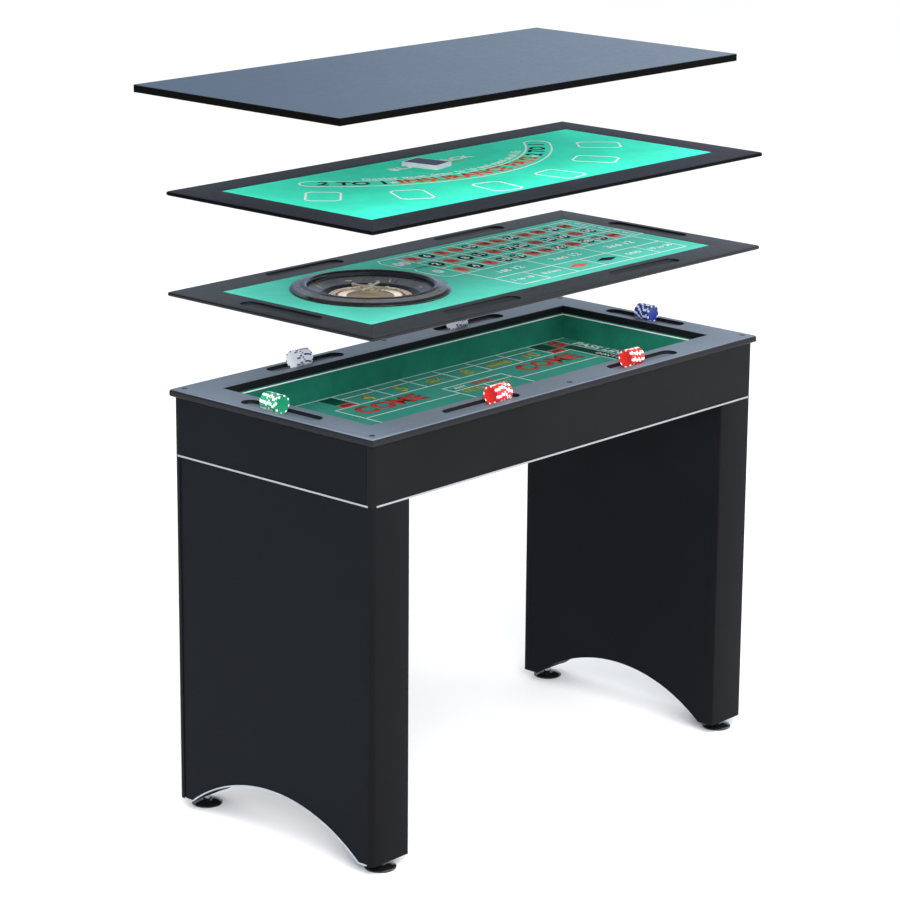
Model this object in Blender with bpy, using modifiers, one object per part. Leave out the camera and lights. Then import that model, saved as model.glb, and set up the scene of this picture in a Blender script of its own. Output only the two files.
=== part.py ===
"""Four-in-one casino table: a craps table on two box legs, with the roulette top, the blackjack
top and the dining top raised above it in the order in which they stack. Metres, +Z up, floor at z = 0.
"""

import math

import bmesh
import bpy
from mathutils import Vector

# Overall sizes
LENGTH = 1.2192
DEPTH = 0.572
HEIGHT = 0.908
HALF_L = LENGTH / 2
HALF_D = DEPTH / 2
GAP = 0.0003

# Craps table body
RIM_THICK = 0.016
RIM_WIDTH = 0.078
OVERHANG = 0.006
BOARD = 0.015
CORNER_R = 0.010
INNER_CORNER_R = 0.003
APRON_BOTTOM = 0.7668
FELT_TOP = 0.833
WALL_THICK = 0.012
CLOTH = 0.002
WELL_BOARD = 0.012
TRIM_HIGH = 0.004
TRIM_THICK = 0.0012
TRIM_BACK = 0.011
CAP_INSET = 0.022
CAP_R = 0.0059

# Chip channels, the same in the craps rim and in the roulette frame
CHANNEL_LONG = 0.216
CHANNEL_WIDE = 0.038
CHANNEL_X = 0.256
CHANNEL_ROUND = 0.004
RIM_CHANNEL_DEEP = 0.009
TOP_CHANNEL_DEEP = 0.005

# Legs and levelling feet
LEG_THICK = 0.106
LEG_BOTTOM = 0.0215
ARCH_HALF = 0.240
ARCH_RISE = 0.085
BAND_WIDE = 0.003
BAND_THICK = 0.0018
SOFFIT_THICK = 0.005
FOOT_BLOCK = 0.020
FOOT_Y = 0.2525
PAD_R = 0.0325
STEM_R = 0.004
STEM_TOP = 0.0595
NUT_ACROSS = 0.013

# Chips: channel, offset along it, number in the stack
CHIP_R = 0.020
CHIP_THICK = 0.0033
CHIPS = {
    "chips_green": ("end_left", 0.020, 14, "chip_green"),
    "chips_white_left": ("back_left", -0.018, 13, "chip_white"),
    "chips_white_right": ("back_right", -0.040, 11, "chip_white"),
    "chips_blue": ("end_right", -0.004, 12, "chip_blue"),
    "chips_red_left": ("front_left", 0.050, 14, "chip_red"),
    "chips_red_right": ("front_right", -0.036, 12, "chip_red"),
}

# Lift-off tops: height of each upper face
ROULETTE_Z = 1.110
BLACKJACK_Z = 1.316
DINING_Z = 1.529
TOP_THICK = 0.010
TOP_BOARD = 0.008
TOP_LAP = 0.012
FELT_DROP = 0.001
DINING_THICK = 0.016
DINING_DX = -0.0402
DINING_DY = 0.0466

# Roulette wheel
WHEEL_X = -0.306
WHEEL_Y = 0.012
WHEEL_R = 0.165
BOWL_HOLE_R = 0.137
ARM_REACH = 0.038

# Card deck
DECK_X = -0.031
DECK_Y = 0.113
DECK_TURN = 12.0
DECK_SIZE = (0.063, 0.088, 0.009)
CARD_CORNER_R = 0.003

# An outline drawn in local X and Y stands up in the world's Y and Z
UPRIGHT = (math.pi / 2, 0.0, math.pi / 2)


def clear_scene():
    for obj in list(bpy.data.objects):
        bpy.data.objects.remove(obj)


def collection(name):
    made = bpy.data.collections.new(name)
    bpy.context.scene.collection.children.link(made)
    return made


def material(name, colour, roughness, metallic=0.0):
    made = bpy.data.materials.get(name) or bpy.data.materials.new(name)
    made.use_nodes = True
    shader = made.node_tree.nodes["Principled BSDF"]
    shader.inputs["Base Color"].default_value = (*colour, 1.0)
    shader.inputs["Roughness"].default_value = roughness
    shader.inputs["Metallic"].default_value = metallic
    return made


def empty(name, location, home, parent=None):
    """Frame that a group of pieces is placed in, or a joint's axis."""
    made = bpy.data.objects.new(name, None)
    made.empty_display_size = 0.05
    made.location = location
    made.parent = parent
    home.objects.link(made)
    return made


class Group:
    """Where pieces go: a collection, and the empty that they are placed from."""

    def __init__(self, home, parent, looks):
        self.home = home
        self.parent = parent
        self.looks = looks

    def at(self, parent):
        return Group(self.home, parent, self.looks)

    def add(self, obj, look, location=(0.0, 0.0, 0.0), rotation=(0.0, 0.0, 0.0)):
        obj.location = location
        obj.rotation_euler = rotation
        obj.parent = self.parent
        obj.data.materials.append(self.looks[look])
        self.home.objects.link(obj)
        return obj


def mesh_from(work, name):
    """Object holding this bmesh, with its faces pointing outwards."""
    bmesh.ops.recalc_face_normals(work, faces=work.faces)
    mesh = bpy.data.meshes.new(name)
    work.to_mesh(mesh)
    work.free()
    return bpy.data.objects.new(name, mesh)


def smooth(obj, degrees=35.0):
    obj.data.shade_smooth()
    obj.data.set_sharp_from_angle(angle=math.radians(degrees))


def box(name, low, high):
    """Box between two corners, with its origin at its centre; returns the object and that centre."""
    size = Vector(high) - Vector(low)
    work = bmesh.new()
    bmesh.ops.create_cube(work, size=1.0)
    bmesh.ops.scale(work, vec=size, verts=work.verts)
    return mesh_from(work, name), (Vector(high) + Vector(low)) / 2


def add_box(group, name, low, high, look):
    obj, centre = box(name, low, high)
    return group.add(obj, look, centre)


def cylinder(name, radius, length, segments, top_radius=None):
    """Cylinder, or a cone to top_radius, along its own Z with its origin at mid-length."""
    work = bmesh.new()
    bmesh.ops.create_cone(
        work,
        cap_ends=True,
        segments=segments,
        radius1=radius,
        radius2=radius if top_radius is None else top_radius,
        depth=length,
    )
    obj = mesh_from(work, name)
    smooth(obj)
    return obj


def ball(name, radius, segments, rings):
    work = bmesh.new()
    bmesh.ops.create_uvsphere(work, u_segments=segments, v_segments=rings, radius=radius)
    obj = mesh_from(work, name)
    smooth(obj)
    return obj


def bevel(obj, width, segments):
    """Rounds the edges that meet at a clear angle."""
    made = obj.modifiers.new("bevel", "BEVEL")
    made.width = width
    made.segments = segments
    made.limit_method = "ANGLE"
    made.angle_limit = math.radians(40)


def outline_curve(name, points):
    """Flat closed curve through these points."""
    data = bpy.data.curves.new(name, "CURVE")
    data.dimensions = "2D"
    spline = data.splines.new("POLY")
    spline.points.add(len(points) - 1)
    for point, (x, y) in zip(spline.points, points):
        point.co = (x, y, 0.0, 1.0)
    spline.use_cyclic_u = True
    return bpy.data.objects.new(name, data)


def plate(name, points, thickness):
    """Flat outline with this thickness, centred on its own plane."""
    obj = outline_curve(name, points)
    obj.data.fill_mode = "BOTH"
    obj.data.extrude = thickness / 2
    return obj


def made_mesh(obj, dissolve=True):
    """Mesh object in place of a curve, with its caps welded."""
    home = obj.users_collection[0]
    bpy.context.view_layer.update()
    graph = bpy.context.evaluated_depsgraph_get()
    mesh = bpy.data.meshes.new_from_object(obj.evaluated_get(graph))
    work = bmesh.new()
    work.from_mesh(mesh)
    bmesh.ops.remove_doubles(work, verts=work.verts, dist=0.00001)
    if dissolve:
        bmesh.ops.dissolve_limit(work, angle_limit=0.002, verts=work.verts, edges=work.edges)
    bmesh.ops.recalc_face_normals(work, faces=work.faces)
    work.to_mesh(mesh)
    work.free()
    name = obj.name
    obj.name = name + "_curve"
    made = bpy.data.objects.new(name, mesh)
    made.parent = obj.parent
    made.matrix_world = obj.matrix_world
    home.objects.link(made)
    bpy.data.objects.remove(obj)
    return made


def turned(name, profile, steps, closed=True):
    """Shape turned about its own Z: a (radius, z) profile at +X with a Screw modifier.

    A profile that starts and ends on the axis is left open there.
    """
    mesh = bpy.data.meshes.new(name)
    count = len(profile)
    edges = [(i, i + 1) for i in range(count - 1)]
    if closed:
        edges.append((count - 1, 0))
    mesh.from_pydata([(r, 0.0, z) for r, z in profile], edges, [])
    obj = bpy.data.objects.new(name, mesh)
    screw = obj.modifiers.new("screw", "SCREW")
    screw.axis = "Z"
    screw.angle = 2 * math.pi
    screw.steps = steps
    screw.render_steps = steps
    screw.use_merge_vertices = True
    screw.merge_threshold = 0.00001
    screw.use_smooth_shade = True
    return obj


def cut_from(target, cutter, operation="DIFFERENCE"):
    cutter.hide_render = True
    cutter.display_type = "WIRE"
    cut = target.modifiers.new("bool_" + cutter.name, "BOOLEAN")
    cut.operation = operation
    cut.solver = "EXACT"
    cut.object = cutter


def rounded_rect(x0, y0, x1, y1, radii, steps=5):
    """Rectangle outline, anticlockwise from the low corner, with a radius for each corner."""
    corners = [(x0, y0, 1, 1), (x1, y0, -1, 1), (x1, y1, -1, -1), (x0, y1, 1, -1)]
    points = []
    for index, (x, y, sx, sy) in enumerate(corners):
        r = radii[index]
        if r <= 0:
            points.append((x, y))
            continue
        start = 180 + 90 * index
        for k in range(steps + 1):
            angle = math.radians(start + 90 * k / steps)
            points.append((x + sx * r + r * math.cos(angle), y + sy * r + r * math.sin(angle)))
    return points


def stadium(long_side, wide, steps=8):
    """Outline of a slot with round ends, lying along X."""
    r = wide / 2
    reach = long_side / 2 - r
    points = []
    for end in (1, -1):
        for k in range(steps + 1):
            angle = math.radians(-90 + 180 * k / steps)
            points.append((end * (reach + r * math.cos(angle)), end * r * math.sin(angle)))
    return points


def swept_frame(group, name, half_x, half_y, profile, look, guides):
    """Mitred frame: a (distance in from the outer edge, z) profile swept round a rectangle."""
    section = outline_curve("section_" + name, [(u, z) for u, z in profile])
    section.hide_render = True
    guides.home.objects.link(section)
    path = outline_curve(
        name, [(-half_x, -half_y), (-half_x, half_y), (half_x, half_y), (half_x, -half_y)]
    )
    path.data.fill_mode = "NONE"
    path.data.bevel_mode = "OBJECT"
    path.data.bevel_object = section
    group.add(path, look)
    return made_mesh(path, dissolve=False)


def slice_off(work, point, normal):
    """Removes what lies on the normal's side of a plane."""
    geometry = work.verts[:] + work.edges[:] + work.faces[:]
    bmesh.ops.bisect_plane(
        work, geom=geometry, dist=0.000001, plane_co=point, plane_no=normal, clear_outer=True
    )


def mitred_rail(frame, name, sx, sy):
    """One side of a swept frame, cut at its mitres with half the gap taken off each end."""
    work = bmesh.new()
    work.from_mesh(frame.data)
    slice_off(work, (0.0, 0.0, 0.0), (-sx, -sy, 0.0))
    for end in (-1, 1):
        corner = Vector((sx * HALF_L or end * HALF_L, sy * HALF_D or end * HALF_D, 0.0))
        away = Vector((end if sy else -sx, -sy if sy else end, 0.0)).normalized()
        slice_off(work, corner - away * GAP * 0.6, away)
    bmesh.ops.holes_fill(work, edges=[edge for edge in work.edges if edge.is_boundary])
    return mesh_from(work, name)


def channel_places():
    """Centre and direction of the six chip channels."""
    side_y = HALF_D - RIM_WIDTH / 2 + 0.002
    end_x = HALF_L - RIM_WIDTH / 2 + 0.001
    return {
        "front_left": (-CHANNEL_X, -side_y, True),
        "front_right": (CHANNEL_X, -side_y, True),
        "back_left": (-CHANNEL_X, side_y, True),
        "back_right": (CHANNEL_X, side_y, True),
        "end_left": (-end_x, 0.0, False),
        "end_right": (end_x, 0.0, False),
    }


def cut_channels(frame, top_z, deep, group):
    """Slots with round ends and a rounded bottom edge."""
    high = deep + CHANNEL_ROUND + 0.002
    for name, (cx, cy, along_x) in channel_places().items():
        slot = plate(f"cut_{frame.name}_{name}", stadium(CHANNEL_LONG, CHANNEL_WIDE), high)
        turn = 0.0 if along_x else math.pi / 2
        group.add(slot, "cap", (cx, cy, top_z - deep + high / 2), (0.0, 0.0, turn))
        cutter = made_mesh(slot)
        bevel(cutter, CHANNEL_ROUND, 2)
        cut_from(frame, cutter)


def cap_places():
    x = HALF_L - CAP_INSET
    y = HALF_D - CAP_INSET
    return ((-x, -y), (0.0, -y), (x, -y), (-x, y), (0.0, y), (x, y))


def rim(parts, cutters):
    """One-piece rim with a rounded nosing, chip channels, and caps over its screws."""
    top = HEIGHT
    low = HEIGHT - RIM_THICK
    profile = [
        (0.002, low),
        (0.0, low + 0.002),
        (0.0, top - 0.006),
        (0.0015, top - 0.0025),
        (0.004, top - 0.0006),
        (0.007, top),
        (RIM_WIDTH - 0.0015, top),
        (RIM_WIDTH, top - 0.0015),
        (RIM_WIDTH, low),
    ]
    frame = swept_frame(parts, "rim_frame", HALF_L, HALF_D, profile, "rim", cutters)
    cut_channels(frame, top, RIM_CHANNEL_DEEP, cutters)
    cap_profile = [
        (0.0, 0.0008),
        (CAP_R - 0.0011, 0.0008),
        (CAP_R, 0.0002),
        (CAP_R, -0.0018),
        (0.0, -0.0018),
    ]
    for index, (x, y) in enumerate(cap_places()):
        hole = cylinder(f"cut_cap_{index + 1}", CAP_R + 0.0004, 0.006, 16)
        cutters.add(hole, "cap", (x, y, top + 0.0008))
        cut_from(frame, hole)
        cap = turned(f"screw_cap_{index + 1}", cap_profile, 16, closed=False)
        parts.add(cap, "cap", (x, y, top))


def aprons(parts):
    x = HALF_L - OVERHANG
    y = HALF_D - OVERHANG
    top = HEIGHT - RIM_THICK - GAP
    high = top - APRON_BOTTOM
    middle = (top + APRON_BOTTOM) / 2
    r = CORNER_R
    half = BOARD / 2
    front = rounded_rect(-x, -half, x, half, (r, r, 0, 0))
    back = rounded_rect(-x, -half, x, half, (0, 0, r, r))
    parts.add(plate("apron_front", front, high), "panel", (0.0, -y + half, middle))
    parts.add(plate("apron_back", back, high), "panel", (0.0, y - half, middle))
    inner = y - BOARD - GAP
    for side, sx in (("left", -1), ("right", 1)):
        x0, x1 = sorted((sx * x, sx * (x - BOARD)))
        add_box(parts, "apron_" + side, (x0, -inner, APRON_BOTTOM), (x1, inner, top), "panel")


def trims(parts):
    """Thin metal strips on the faces of the aprons, just above their bottom edge."""
    x = HALF_L - OVERHANG
    y = HALF_D - OVERHANG
    z0 = APRON_BOTTOM + 0.0004
    z1 = z0 + TRIM_HIGH
    near = GAP
    far = GAP + TRIM_THICK
    bx = x - TRIM_BACK
    by = y - TRIM_BACK
    add_box(parts, "trim_front", (-bx, -y - far, z0), (bx, -y - near, z1), "trim")
    add_box(parts, "trim_back", (-bx, y + near, z0), (bx, y + far, z1), "trim")
    add_box(parts, "trim_left", (-x - far, -by, z0), (-x - near, by, z1), "trim")
    add_box(parts, "trim_right", (x + near, -by, z0), (x + far, by, z1), "trim")


def upright_ring(name, half_x, half_y, wall, z0, z1, look, parts, cutters):
    """Four upright walls in one piece, round an opening with these half sizes."""
    profile = [(0.0, z0), (0.0, z1), (wall, z1), (wall, z0)]
    return swept_frame(parts, name, half_x + wall, half_y + wall, profile, look, cutters)


def well(parts, cutters):
    """The craps well: floor board between the aprons, wall boards, wall cloth and layout cloth."""
    ix = HALF_L - RIM_WIDTH
    iy = HALF_D - RIM_WIDTH
    ax = HALF_L - OVERHANG - BOARD - GAP
    ay = HALF_D - OVERHANG - BOARD - GAP
    floor_top = FELT_TOP - CLOTH - GAP
    top = HEIGHT - RIM_THICK - GAP
    lap = CLOTH + GAP
    add_box(parts, "well_floor", (-ax, -ay, floor_top - WELL_BOARD), (ax, ay, floor_top), "board")
    upright_ring(
        "well_wall", ix + lap, iy + lap, WALL_THICK, floor_top + GAP, top, "board", parts, cutters
    )
    upright_ring("wall_felt", ix, iy, CLOTH, FELT_TOP + GAP, top, "felt_dark", parts, cutters)
    cx = ix + CLOTH
    cy = iy + CLOTH
    add_box(parts, "craps_felt", (-cx, -cy, floor_top + GAP), (cx, cy, FELT_TOP), "felt_dark")


def arch_circle():
    """Radius and centre height of the circle that the arch follows."""
    radius = (ARCH_HALF**2 + ARCH_RISE**2) / (2 * ARCH_RISE)
    return radius, LEG_BOTTOM + ARCH_RISE - radius


def arch_line(reach, rise=0.0, steps=24):
    """Points of the arch, this far out from its circle, between y = -reach and y = reach."""
    radius, centre_z = arch_circle()
    start = math.asin(reach / radius)
    points = []
    for k in range(steps + 1):
        angle = -start + 2 * start * k / steps
        y = (radius + rise) * math.sin(angle)
        points.append((y, centre_z + (radius + rise) * math.cos(angle)))
    return points


def arch_outline(half_y, top_z):
    """Side view of an arched panel, as (y, z)."""
    return [
        (-half_y, LEG_BOTTOM),
        *arch_line(ARCH_HALF),
        (half_y, LEG_BOTTOM),
        (half_y, top_z),
        (-half_y, top_z),
    ]


def legs(parts, cutters):
    """Two box legs: outer and inner arched panels, front and back boards, and a bent soffit."""
    outer_x = HALF_L - OVERHANG
    outer_y = HALF_D - OVERHANG
    top = APRON_BOTTOM - GAP
    inner_y = outer_y - BOARD - GAP
    skin = arch_outline(inner_y, top)
    for side, sx in (("left", -1), ("right", 1)):
        panel_out = BOARD - BAND_THICK
        x_out = sx * (outer_x - BAND_THICK - panel_out / 2)
        x_in = sx * (outer_x - LEG_THICK + BOARD / 2)
        outer = plate(f"leg_{side}_outer", skin, panel_out)
        inner = plate(f"leg_{side}_inner", skin, BOARD)
        parts.add(outer, "panel", (x_out, 0.0, 0.0), UPRIGHT)
        parts.add(inner, "panel", (x_in, 0.0, 0.0), UPRIGHT)
        for part, sy in (("front", -1), ("back", 1)):
            corners = {(-1, -1): 0, (1, -1): 1, (1, 1): 2, (-1, 1): 3}
            radii = [0, 0, 0, 0]
            radii[corners[(sx, sy)]] = CORNER_R
            radii[corners[(-sx, sy)]] = INNER_CORNER_R
            half_x, half_y = LEG_THICK / 2, BOARD / 2
            post = plate(
                f"leg_{side}_{part}",
                rounded_rect(-half_x, -half_y, half_x, half_y, radii),
                top - LEG_BOTTOM,
            )
            place = (sx * (outer_x - half_x), sy * (outer_y - half_y), (top + LEG_BOTTOM) / 2)
            parts.add(post, "panel", place)
        arch_band(side, sx, outer_x, inner_y, parts)
        soffit(side, sx, outer_x, inner_y, parts, cutters)


def arch_band(side, sx, outer_x, inner_y, parts):
    """Pale edge band that follows the arch on the outer panel's face."""
    upper = arch_line(ARCH_HALF, BAND_WIDE)
    outline = [
        (-inner_y, LEG_BOTTOM),
        *arch_line(ARCH_HALF),
        (inner_y, LEG_BOTTOM),
        (inner_y, LEG_BOTTOM + BAND_WIDE),
        *upper[::-1],
        (-inner_y, LEG_BOTTOM + BAND_WIDE),
    ]
    thick = BAND_THICK - GAP
    band = plate(f"arch_band_{side}", outline, thick)
    parts.add(band, "band", (sx * (outer_x - thick / 2), 0.0, 0.0), UPRIGHT)


def soffit(side, sx, outer_x, inner_y, parts, cutters):
    """Bent board that closes the arch between the panels; its thick ends hold the feet."""
    reach = ARCH_HALF - 0.004
    block_top = LEG_BOTTOM + FOOT_BLOCK
    upper = [p for p in arch_line(reach, SOFFIT_THICK) if p[1] > block_top]
    outline = [
        (-inner_y, LEG_BOTTOM + GAP),
        *arch_line(reach),
        (inner_y, LEG_BOTTOM + GAP),
        (inner_y, block_top),
        (reach + 0.0005, block_top),
        *upper[::-1],
        (-reach - 0.0005, block_top),
        (-inner_y, block_top),
    ]
    wide = LEG_THICK - 2 * BOARD - 2 * GAP
    curve = plate(f"leg_{side}_soffit", outline, wide)
    parts.add(curve, "panel", (sx * (outer_x - LEG_THICK / 2), 0.0, 0.0), UPRIGHT)
    board = made_mesh(curve)
    for end, (fx, fy) in foot_places().items():
        if end.startswith(side):
            hole = cylinder("cut_foot_" + end, STEM_R + 0.0004, FOOT_BLOCK * 2, 16)
            cutters.add(hole, "stem", (fx, fy, LEG_BOTTOM + FOOT_BLOCK / 2))
            cut_from(board, hole)


def foot_places():
    x = HALF_L - OVERHANG - LEG_THICK / 2
    return {
        "left_front": (-x, -FOOT_Y),
        "left_back": (-x, FOOT_Y),
        "right_front": (x, -FOOT_Y),
        "right_back": (x, FOOT_Y),
    }


def feet(parts, cutters):
    """Levelling feet: a disc pad that turns on a threaded stem with a hexagon under the leg."""
    socket = STEM_R + 0.0004
    pad_profile = [
        (0.0, 0.0040),
        (socket, 0.0040),
        (socket, 0.0118),
        (0.0095, 0.0118),
        (0.0115, 0.0084),
        (0.0220, 0.0072),
        (PAD_R - 0.0015, 0.0048),
        (PAD_R, 0.0034),
        (PAD_R, 0.0012),
        (PAD_R - 0.0025, 0.0),
        (0.0, 0.0),
    ]
    stem_profile = [
        (0.0, STEM_TOP),
        (STEM_R - 0.0012, STEM_TOP),
        (STEM_R, STEM_TOP - 0.0015),
        (STEM_R, 0.0044),
        (0.0, 0.0044),
    ]
    nut_low = 0.0125
    nut_high = LEG_BOTTOM - GAP
    for name, (fx, fy) in foot_places().items():
        pad = turned("foot_pad_" + name, pad_profile, 26, closed=False)
        parts.add(pad, "pad", (fx, fy, 0.0))
        stem = turned("foot_stem_" + name, stem_profile, 14, closed=False)
        parts.add(stem, "stem", (fx, fy, 0.0))
        nut = cylinder(
            "join_nut_" + name, NUT_ACROSS / 2 / math.cos(math.pi / 6), nut_high - nut_low, 6
        )
        cutters.add(nut, "stem", (fx, fy, (nut_high + nut_low) / 2))
        cut_from(stem, nut, "UNION")


def chips(parts):
    """Stacks of chips on edge, lying in the channels of the craps rim."""
    places = channel_places()
    centre_z = HEIGHT - RIM_CHANNEL_DEEP + GAP + CHIP_R
    for name, (channel, offset, count, look) in CHIPS.items():
        cx, cy, along_x = places[channel]
        cx += offset if along_x else 0.0
        cy += 0.0 if along_x else offset
        stack = cylinder(name, CHIP_R, count * CHIP_THICK, 28)
        bevel(stack, 0.0004, 1)
        turn = math.pi / 2 if along_x else 0.0
        parts.add(stack, look, (cx, cy, centre_z), (math.pi / 2, 0.0, turn))


def top_profile():
    """Section of a lift-off top's rail, with a rebate for the board underneath; z from its top."""
    rebate = TOP_BOARD + GAP - TOP_THICK
    return [
        (0.0030, -TOP_THICK),
        (0.0008, 0.0015 - TOP_THICK),
        (0.0, -0.0050),
        (0.0010, -0.0022),
        (0.0035, -0.0006),
        (0.0070, 0.0),
        (RIM_WIDTH - 0.0030, 0.0),
        (RIM_WIDTH, -0.0009),
        (RIM_WIDTH, rebate),
        (RIM_WIDTH - TOP_LAP, rebate),
        (RIM_WIDTH - TOP_LAP, -TOP_THICK),
    ]


def board_and_felt(prefix, parts):
    """Board that sits in the rebate, and the cloth on it."""
    ix = HALF_L - RIM_WIDTH
    iy = HALF_D - RIM_WIDTH
    lap = TOP_LAP - GAP
    board_top = TOP_BOARD - TOP_THICK
    board = add_box(
        parts,
        prefix + "_board",
        (-ix - lap, -iy - lap, -TOP_THICK),
        (ix + lap, iy + lap, board_top),
        "board",
    )
    felt = add_box(
        parts,
        prefix + "_felt",
        (-ix + GAP, -iy + GAP, board_top + GAP),
        (ix - GAP, iy - GAP, -FELT_DROP),
        "felt_light",
    )
    return board, felt


def mitre_grooves(frame, cutters):
    """Fine grooves that mark the mitres on the one-piece frame: three-sided bars along each mitre."""
    long_side = math.hypot(RIM_WIDTH, RIM_WIDTH) + 0.012
    for sx in (-1, 1):
        for sy in (-1, 1):
            name = f"cut_mitre_{'l' if sx < 0 else 'r'}{'f' if sy < 0 else 'b'}"
            bar = cylinder(name, 0.0009, long_side, 3)
            middle = (sx * (HALF_L - RIM_WIDTH / 2), sy * (HALF_D - RIM_WIDTH / 2), 0.0002)
            cutters.add(bar, "cap", middle, (math.pi / 2, math.pi, math.atan2(sy, sx) + math.pi / 2))
            cut_from(frame, bar)


def roulette(parts, cutters, wheel_axis):
    """Roulette top: frame, board and cloth, with the wheel let into it."""
    frame = swept_frame(
        parts, "roulette_frame", HALF_L, HALF_D, top_profile(), "top_frame", cutters
    )
    cut_channels(frame, 0.0, TOP_CHANNEL_DEEP, cutters)
    mitre_grooves(frame, cutters)
    for target in board_and_felt("roulette", parts):
        hole = cylinder("cut_bowl_" + target.name, BOWL_HOLE_R, 0.04, 48)
        cutters.add(hole, "cap", (WHEEL_X, WHEEL_Y, 0.0))
        cut_from(target, hole)
    wheel(parts.at(wheel_axis), cutters.at(wheel_axis))


def wheel(parts, cutters):
    """Bowl with flange, ball track and cone; rotor with the number ring; turret with four arms."""
    seat = GAP - FELT_DROP
    bowl_profile = [
        (0.0, -0.0194),
        (0.0034, -0.0194),
        (0.0040, -0.0200),
        (0.0040, -0.0310),
        (0.0870, -0.0310),
        (0.0870, -0.0190),
        (0.1010, -0.0104),
        (0.1272, -0.0010),
        (0.1284, 0.0070),
        (0.1300, 0.0106),
        (0.1340, 0.0118),
        (0.1390, 0.0112),
        (0.1500, 0.0084),
        (WHEEL_R - 0.002, 0.0032),
        (WHEEL_R, 0.0010),
        (WHEEL_R - 0.0005, seat),
        (0.1364, seat),
        (0.1355, -0.0110),
        (0.1120, -0.0220),
        (0.0920, -0.0360),
        (0.0, -0.0360),
    ]
    rotor_profile = [
        (0.0044, -0.0065),
        (0.0180, -0.0065),
        (0.0490, -0.0120),
        (0.0500, -0.0165),
        (0.0650, -0.0165),
        (0.0660, -0.0125),
        (0.0840, -0.0135),
        (0.0855, -0.0150),
        (0.0855, -0.0270),
        (0.0820, -0.0300),
        (0.0044, -0.0300),
    ]
    turret_profile = [
        (0.0, 0.0120),
        (0.0040, 0.0115),
        (0.0052, 0.0100),
        (0.0046, 0.0084),
        (0.0060, 0.0072),
        (0.0085, 0.0058),
        (0.0085, 0.0022),
        (0.0075, 0.0005),
        (0.0110, -0.0020),
        (0.0170, -0.0045),
        (0.0170, -0.0060),
        (0.0, -0.0060),
    ]
    parts.add(turned("wheel_bowl", bowl_profile, 56, closed=False), "bowl")
    parts.add(turned("wheel_rotor", rotor_profile, 56), "rotor")
    turret = parts.add(turned("wheel_turret", turret_profile, 20, closed=False), "turret")
    for index in range(4):
        turret_arm(index, turret, cutters)


def turret_arm(index, turret, cutters):
    """Tapered arm with a ball end, rising slightly outwards."""
    angle = math.radians(20 + 90 * index)
    out = Vector((math.cos(angle), math.sin(angle), 0.05)).normalized()
    root = Vector((0.0, 0.0, 0.0040))
    facing = out.to_track_quat("Z", "Y").to_euler()
    rod = cylinder(f"join_arm_{index + 1}", 0.0024, ARM_REACH - 0.004, 8, top_radius=0.0017)
    cutters.add(rod, "turret", root + out * (ARM_REACH + 0.004) / 2, facing)
    tip = ball(f"join_ball_{index + 1}", 0.0038, 10, 6)
    cutters.add(tip, "turret", root + out * ARM_REACH, facing)
    cut_from(turret, rod, "UNION")
    cut_from(turret, tip, "UNION")


def blackjack(parts, cutters):
    """Blackjack top: four mitred rails round a board and cloth, with a deck of cards on it."""
    whole = swept_frame(
        cutters, "whole_blackjack_frame", HALF_L, HALF_D, top_profile(), "top_frame", cutters
    )
    whole.hide_render = True
    for side, sx, sy in (("front", 0, -1), ("back", 0, 1), ("left", -1, 0), ("right", 1, 0)):
        parts.add(mitred_rail(whole, "blackjack_rail_" + side, sx, sy), "top_frame")
    board_and_felt("blackjack", parts)
    wide, long_side, high = DECK_SIZE
    r = CARD_CORNER_R
    card = rounded_rect(-wide / 2, -long_side / 2, wide / 2, long_side / 2, (r, r, r, r), 3)
    place = (DECK_X, DECK_Y, GAP - FELT_DROP + high / 2)
    parts.add(plate("card_deck", card, high), "deck", place, (0.0, 0.0, math.radians(DECK_TURN)))


def dining(parts):
    """Plain board with eased edges."""
    low = (-HALF_L, -HALF_D, -DINING_THICK)
    top = add_box(parts, "dining_top", low, (HALF_L, HALF_D, 0.0), "dining")
    bevel(top, 0.0008, 1)


def make_looks():
    return {
        "rim": material("rim_laminate", (0.16, 0.18, 0.20), 0.35),
        "panel": material("panel_laminate", (0.024, 0.026, 0.031), 0.45),
        "board": material("raw_board", (0.42, 0.30, 0.19), 0.8),
        "trim": material("trim_metal", (0.62, 0.65, 0.68), 0.25, 1.0),
        "band": material("edge_band", (0.36, 0.40, 0.44), 0.4),
        "cap": material("cap_plastic", (0.02, 0.02, 0.022), 0.4),
        "felt_dark": material("craps_cloth", (0.02, 0.22, 0.14), 0.9),
        "felt_light": material("layout_cloth", (0.08, 0.70, 0.55), 0.9),
        "pad": material("foot_plastic", (0.01, 0.01, 0.012), 0.15),
        "stem": material("foot_steel", (0.6, 0.6, 0.62), 0.3, 1.0),
        "chip_green": material("chip_green", (0.02, 0.35, 0.17), 0.4),
        "chip_white": material("chip_white", (0.8, 0.8, 0.83), 0.4),
        "chip_blue": material("chip_blue", (0.03, 0.07, 0.48), 0.4),
        "chip_red": material("chip_red", (0.62, 0.03, 0.03), 0.4),
        "top_frame": material("top_frame_finish", (0.045, 0.045, 0.052), 0.4),
        "bowl": material("bowl_plastic", (0.014, 0.014, 0.016), 0.15),
        "rotor": material("rotor_plastic", (0.45, 0.10, 0.08), 0.35),
        "turret": material("turret_metal", (0.83, 0.72, 0.46), 0.3, 1.0),
        "deck": material("playing_cards", (0.80, 0.80, 0.84), 0.6),
        "dining": material("dining_laminate", (0.09, 0.12, 0.16), 0.35),
    }


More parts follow.
